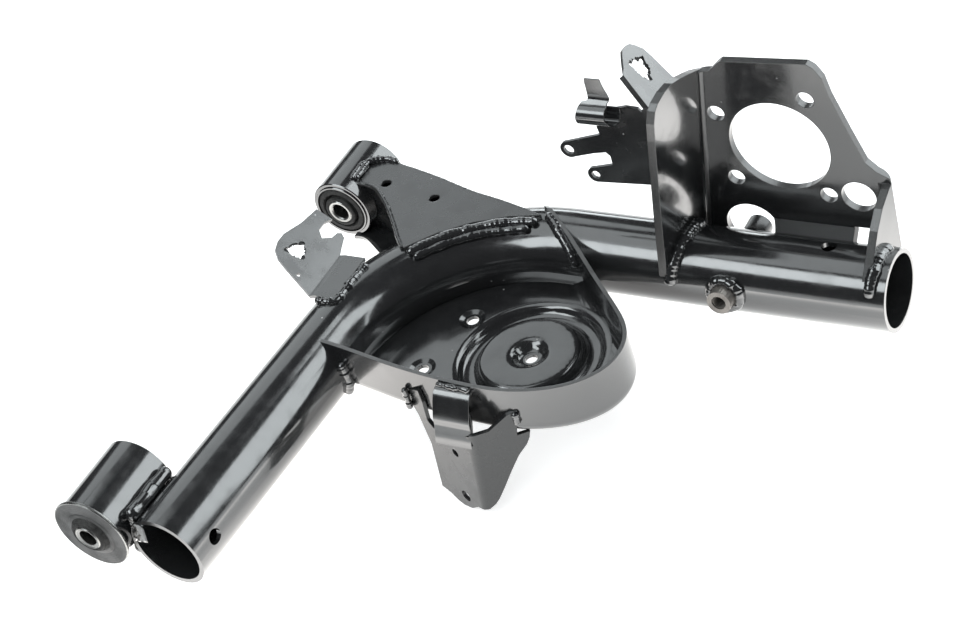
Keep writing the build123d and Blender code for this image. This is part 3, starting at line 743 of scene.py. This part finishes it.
def bent_tab():
    """Hose tab on the hub plate: a flat face with a lobed opening and a lip along one side."""
    n = Vector((0.75, 0.25, 0.6)).normalized()
    o = Vector((312, 5, 110))

    def on_face(point):
        v = Vector(point)
        return v - n * (v - o).dot(n)

    outline = [
        (268.4, 56, 143.5), (271.5, 60.5, 137.5), (276, 61, 131.5), (285, 60.5, 120), (294, 60.5, 108.8),
        (304, 54, 99), (309, 30, 102.8), (311, 6, 111.2), (302.2, 5.2, 122.5), (278.5, 15.5, 147.8),
        (275.8, 22.5, 148.3), (271.5, 31, 150.2), (268, 38.5, 151.4), (266.6, 46, 149.8), (266.6, 52, 147.2),
    ]
    lip_from, lip_to = 8, 9
    bm = bmesh.new()
    rim = [bm.verts.new(on_face(q)) for q in outline]
    edges = closed_line(bm, rim)
    middle = on_face((279.0, 40, 136.5))
    hole = star_edge(bm, middle, n, 8.8, 12.6, 0.5, 0.3)
    torn_ring("tab_teeth", middle - n * 1.4, n, 8.0, 10.6, 0.5)
    bmesh.ops.triangle_fill(bm, edges=edges + edges_of(hole), use_beauty=True)
    bmesh.ops.recalc_face_normals(bm, faces=bm.faces)
    lip = [e for e in bm.edges if rim[lip_from] in e.verts and rim[lip_to] in e.verts]
    grow_edges(bm, lip, n * -4.2)
    thicken(bm, 2.2)
    soften_edges(piece("hose_tab_dressed", bm, tab_paint, "paint", "hose_tab"), 0.00035)


def spring_clip():
    """Pipe clip: a thin strip rolled into an open C, then a neck and a flared tongue."""
    cy, cz, r = -8.6, 130.4, 7.9
    left, right = 251.5, 279.6
    start = radians(18)
    bm = bmesh.new()
    ends = [bm.verts.new((x, cy + r * cos(start), cz + r * sin(start))) for x in (left, right)]
    spun = bmesh.ops.spin(
        bm, geom=[*ends, bm.edges.new(ends)], cent=(0, cy, cz), axis=(-1, 0, 0),
        angle=radians(288), steps=32,
    )["geom_last"]
    for v in bm.verts:
        turned = (start - atan2(v.co.z - cz, v.co.y - cy)) % (2 * pi)
        if v.co.x > 260:
            v.co.x = right - 5.4 * max(0.0, min(1.0, (turned - radians(95)) / radians(110))) ** 1.2
        else:
            v.co.x += 1.2 * max(0.0, turned - radians(200))
    edge = [g for g in spun if isinstance(g, bmesh.types.BMEdge)]
    # Neck and tongue, row by row: the way along Y and Z, then X of the left and the right end.
    rows = (
        (1.0, 1.3, 254.0, 274.2), (1.2, 0.8, 258.6, 275.0), (1.0, 1.4, 258.8, 275.6), (0.5, 3.6, 258.8, 274.4),
        (0.3, 4.0, 258.6, 272.6), (0.3, 4.0, 258.4, 271.4), (0.2, 3.6, 258.8, 270.8),
    )
    for dy, dz, x0, x1 in rows:
        grown, new = grow_edges(bm, edge, (0, dy, dz))
        new.sort(key=lambda v: v.co.x)
        new[0].co.x, new[1].co.x = x0, x1
        edge = [g for g in grown if isinstance(g, bmesh.types.BMEdge) and all(v in new for v in g.verts)]
    top = max(v.co.z for v in bm.verts)
    tongue = [v for v in bm.verts if v.co.z > cz + r + 2]
    bmesh.ops.translate(bm, verts=tongue, vec=(0, 0, min(0.0, 157.6 - top)))
    bmesh.ops.recalc_face_normals(bm, faces=bm.faces)
    thicken(bm, 1.2)
    soften_edges(piece("pipe_clip_dressed", bm, paint, "paint", "pipe_clip"), 0.0002)


def lathe(name, profile, material, slot):
    """A ring turned round the Y axis from (radius, y) points."""
    bm = bmesh.new()
    line = [bm.verts.new((r, y, 0)) for r, y in profile]
    bmesh.ops.spin(
        bm, geom=line + closed_line(bm, line), cent=(0, 0, 0), axis=(0, 1, 0),
        angle=2 * pi, steps=72, use_merge=True,
    )
    piece(name, bm, material, slot)


def torn_flake():
    """A flap of weld skin left standing between the front sleeve and the tube."""
    bm = bmesh.new()
    bmesh.ops.create_grid(bm, x_segments=6, y_segments=6, size=0.5)
    low_left, low_right = Vector((33, -352, -4)), Vector((51, -354.5, 4))
    high_left, high_right = Vector((36.5, -351, 16)), Vector((50, -353, 17.5))
    for v in bm.verts:
        u, w = v.co.x + 0.5, v.co.y + 0.5
        ragged = noise.noise(Vector((u * 3.3, w * 3.3, 4.0)))
        flat = low_left.lerp(low_right, u).lerp(high_left.lerp(high_right, u), w)
        v.co = flat + Vector((1.4 * ragged, -1.6 * ragged - 2.0 * u * (1 - w), 1.6 * ragged))
    thicken(bm, 0.8)
    piece("weld_flake", bm, weld_paint, "weld")


def strap_front():
    """Front of the strap: it leans out, steps at a bend and leans out again."""
    left, width = 187.2, 29.6
    profile = [
        (-173.6, 11.4), (-178.0, 10.8), (-181.6, 9.0), (-185.4, 3.6), (-188.4, -2.2), (-190.6, -6.6),
        (-191.4, -8.8), (-191.4, -11.0), (-191.9, -13.4), (-194.2, -18.4), (-196.0, -23.4), (-196.4, -27.0),
    ]
    bm = bmesh.new()
    line = [bm.verts.new((left, y, z)) for y, z in profile]
    grow_edges(bm, [bm.edges.new(line[k:k + 2]) for k in range(len(line) - 1)], (width, 0, 0))
    bmesh.ops.recalc_face_normals(bm, faces=bm.faces)
    thicken(bm, 1.0)
    soften_edges(piece("strap_front", bm, paint, "paint"), 0.0003)


def screw_thread():
    """Thread inside the boss: a small tooth wound along the bore."""
    root = BOSS_FOOT + BOSS_WAY * 28.5
    side = Vector((1, 0, 0))
    pitch, turns, steps = 1.5, 8, 20
    bm = bmesh.new()
    profile = ((5.5, -0.6), (4.85, 0.0), (5.5, 0.6))
    tooth = [bm.verts.new(root + side * r + BOSS_WAY * h) for r, h in profile]
    bmesh.ops.spin(
        bm, geom=tooth + closed_line(bm, tooth), cent=root, axis=BOSS_WAY,
        dvec=BOSS_WAY * (pitch / steps), angle=2 * pi * turns, steps=steps * turns,
    )
    bmesh.ops.holes_fill(bm, edges=bm.edges, sides=3)
    piece("boss_thread_turns", bm, boss_steel, "boss")


bent_tab()
spring_clip()
torn_ring("hose_teeth", Vector((19.6, -85, 31.4)), Vector((0.4384, 0, 0.8988)), 5.9, 8.0, 0.3)
torn_flake()
strap_front()
screw_thread()

# Rolled lips along the deck's edges.
lip_look = {"ripple": 0.0, "fine": 0.2, "material": deck_paint, "slot": "paint"}
front_lip = [
    (9.4, 11.0, 20.0), (24.6, 10.8, 20.0), (35.4, 7.2, 20.0), (48.3, -3.2, 20.0),
    (60.3, -15.3, 20.0), (73.3, -30.2, 20.0), (85.3, -44.8, 20.0), (94.0, -53.6, 19.6),
]
weld_bead("deck_lip_front", front_lip, 1.9, 3.0, lump=0.25, **lip_look)
rear_lip = [(184.0, 0.5, 19.6), (152, 9.7, 19.6), (116, 17.7, 19.6), (84, 27.7, 19.6), (50, 36.6, 19.6)]
weld_bead("deck_lip_rear", rear_lip, 1.6, 5.0, lump=0.2, **lip_look)

# Turned details of the bushes.
collar_front = [
    (10.4, -358.0), (10.4, -361.9), (10.9, -362.4), (12.4, -362.4), (13.5, -361.6), (14.0, -359.8), (14.8, -358.0),
]
rim = [(29.3, -358.3), (29.9, -358.3), (30.15, -357.9), (30.15, -356.2), (29.9, -355.9), (29.3, -355.9)]
cover = [(14.0, -358.3), (15.4, -358.5), (19.4, -358.3), (19.4, -357.6), (14.0, -357.6)]
collar_rear = [(10.4, -1.4), (10.4, -2.7), (10.9, -3.1), (12.4, -3.0), (13.4, -2.4), (13.9, -1.4)]
lathe("rubber_collar_front", collar_front, bush_rubber, "rubber")
lathe("flange_rim", rim, bright_steel, "bright_steel")
lathe("flange_cover", cover, flange_steel, "flange_steel")
lathe("rubber_collar_rear", collar_rear, bush_rubber, "rubber")

# Camera and light. Sizes are in m.

LAMP_COLOUR = (0.92, 0.98, 1.0)
LAMP_TARGET = Vector((0.21, -0.13, 0.0))
LAMPS = (
    # Name, azimuth from +Y towards +X, elevation, distance, width, height, power, seen in gloss.
    ("box_right", 39, 28, 2.0, 2.2, 1.85, 39, True),
    ("box_left", -143, 48, 2.0, 1.3, 0.8, 13, True),
    ("box_high", 8, 54, 2.0, 0.42, 0.36, 1.3, True),
    ("box_over", -86, 67, 2.0, 1.4, 0.9, 4.6, True),
    ("box_back", -50, 33, 2.0, 1.15, 1.2, 4.2, True),
    ("sweep_back", -30, 8, 2.0, 1.0, 0.3, 3.2, True),
    ("fill", 150, 60, 3.0, 2.0, 2.0, 40, False),
)


def point_camera():
    cam = bpy.data.cameras.new("camera")
    cam.sensor_fit = "HORIZONTAL"
    cam.sensor_width = 36.0
    cam.lens = 79.53
    cam.clip_start = 0.05
    cam.clip_end = 40.0
    o = bpy.data.objects.new("camera", cam)
    right = Vector((0.8583, 0.4494, -0.2476)).normalized()
    down = Vector((0.1337, -0.6618, -0.7376))
    back = right.cross(-down).normalized()
    up = back.cross(right)
    turn = Matrix((right, up, back)).transposed().to_4x4()
    o.matrix_world = Matrix.Translation((0.944558, -1.024221, 0.970867)) @ turn
    bpy.context.scene.collection.objects.link(o)
    bpy.context.scene.camera = o


def softbox(name, azimuth, elevation, distance, wide, tall, power, glossy):
    """A soft lamp that looks at the arm and that the camera doesn't see."""
    a, e = radians(azimuth), radians(elevation)
    away = Vector((sin(a) * cos(e), cos(a) * cos(e), sin(e)))
    lamp = bpy.data.lights.new(name, "AREA")
    lamp.shape = "RECTANGLE"
    lamp.size, lamp.size_y = wide, tall
    lamp.energy = power
    lamp.color = LAMP_COLOUR
    o = bpy.data.objects.new(name, lamp)
    o.rotation_mode = "QUATERNION"
    o.location = LAMP_TARGET + away * distance
    o.rotation_quaternion = away.to_track_quat("Z", "Y")
    o.visible_camera = False
    o.visible_glossy = glossy
    bpy.context.scene.collection.objects.link(o)


def make_world():
    """White to the camera, nearly black in gloss and a plain grey otherwise."""
    w = bpy.data.worlds.new("studio")
    t = empty_tree(w)
    out = t.nodes.new("ShaderNodeOutputWorld")
    bg = t.nodes.new("ShaderNodeBackground")
    path = t.nodes.new("ShaderNodeLightPath")
    dim = mix_colour(t, path.outputs["Is Glossy Ray"], (0.55, 0.55, 0.55), (0.045, 0.045, 0.048))
    feed(t, bg.inputs["Color"], mix_colour(t, path.outputs["Is Camera Ray"], dim, (1, 1, 1)))
    feed(t, out.inputs["Surface"], bg.outputs[0])
    bpy.context.scene.world = w


def make_floor():
    """White floor that keeps the shadow. In gloss it glows as a painted lit table, with painted shade
    under the arm, brightest round it, dark beyond its edge and with a painted warm tint. It is clear from below."""
    z = first_box[0][2] - 0.0005
    bm = bmesh.new()
    place = Matrix.Translation((0.2, -0.1, z))
    bmesh.ops.create_grid(bm, x_segments=1, y_segments=1, size=6.0, matrix=place)
    m, t, b, co = fresh_material("floor_white")
    surface = b.outputs["BSDF"].links[0].to_socket
    feed(t, b.inputs["Base Color"], (0.80, 0.80, 0.80))
    feed(t, b.inputs["Roughness"], 0.9)
    path = t.nodes.new("ShaderNodeLightPath")
    glossy, camera = path.outputs["Is Glossy Ray"], path.outputs["Is Camera Ray"]
    reach = t.nodes.new("ShaderNodeVectorMath")
    reach.operation = "DISTANCE"
    reach.inputs[1].default_value = (0.28, -0.13, z)
    feed(t, reach.inputs[0], co)
    # Painted light and shade seen in gloss: the glow is dim under the arm as a painted shadow, rises to a painted
    # pool of light round it and fades out beyond the table's edge.
    painted_table_glow = mix_value(t, ramp(t, reach.outputs["Value"], 0.09, 0.32), 0.38, 1.85)
    painted_table_glow = mix_value(t, ramp(t, reach.outputs["Value"], 0.35, 0.52), painted_table_glow, 0.10)
    glow_with_painted_shade = mix_value(t, camera, mix_value(t, glossy, 0.45, painted_table_glow), 0.60)
    feed(t, b.inputs["Emission Strength"], glow_with_painted_shade)
    # Painted warm tint that the floor shows only in gloss.
    feed(t, b.inputs["Emission Color"], mix_colour(t, glossy, (1, 1, 1), (1.0, 0.955, 0.915)))
    geo = t.nodes.new("ShaderNodeNewGeometry")
    clear = t.nodes.new("ShaderNodeBsdfTransparent")
    sided = t.nodes.new("ShaderNodeMixShader")
    feed(t, sided.inputs[0], geo.outputs["Backfacing"])
    feed(t, sided.inputs[1], b.outputs[0])
    feed(t, sided.inputs[2], clear.outputs[0])
    feed(t, surface, sided.outputs[0])
    o = add_object("floor", bm, m)


point_camera()
make_world()
make_floor()
for lamp_row in LAMPS:
    softbox(*lamp_row)
bpy.context.scene.view_settings.view_transform = "Standard"
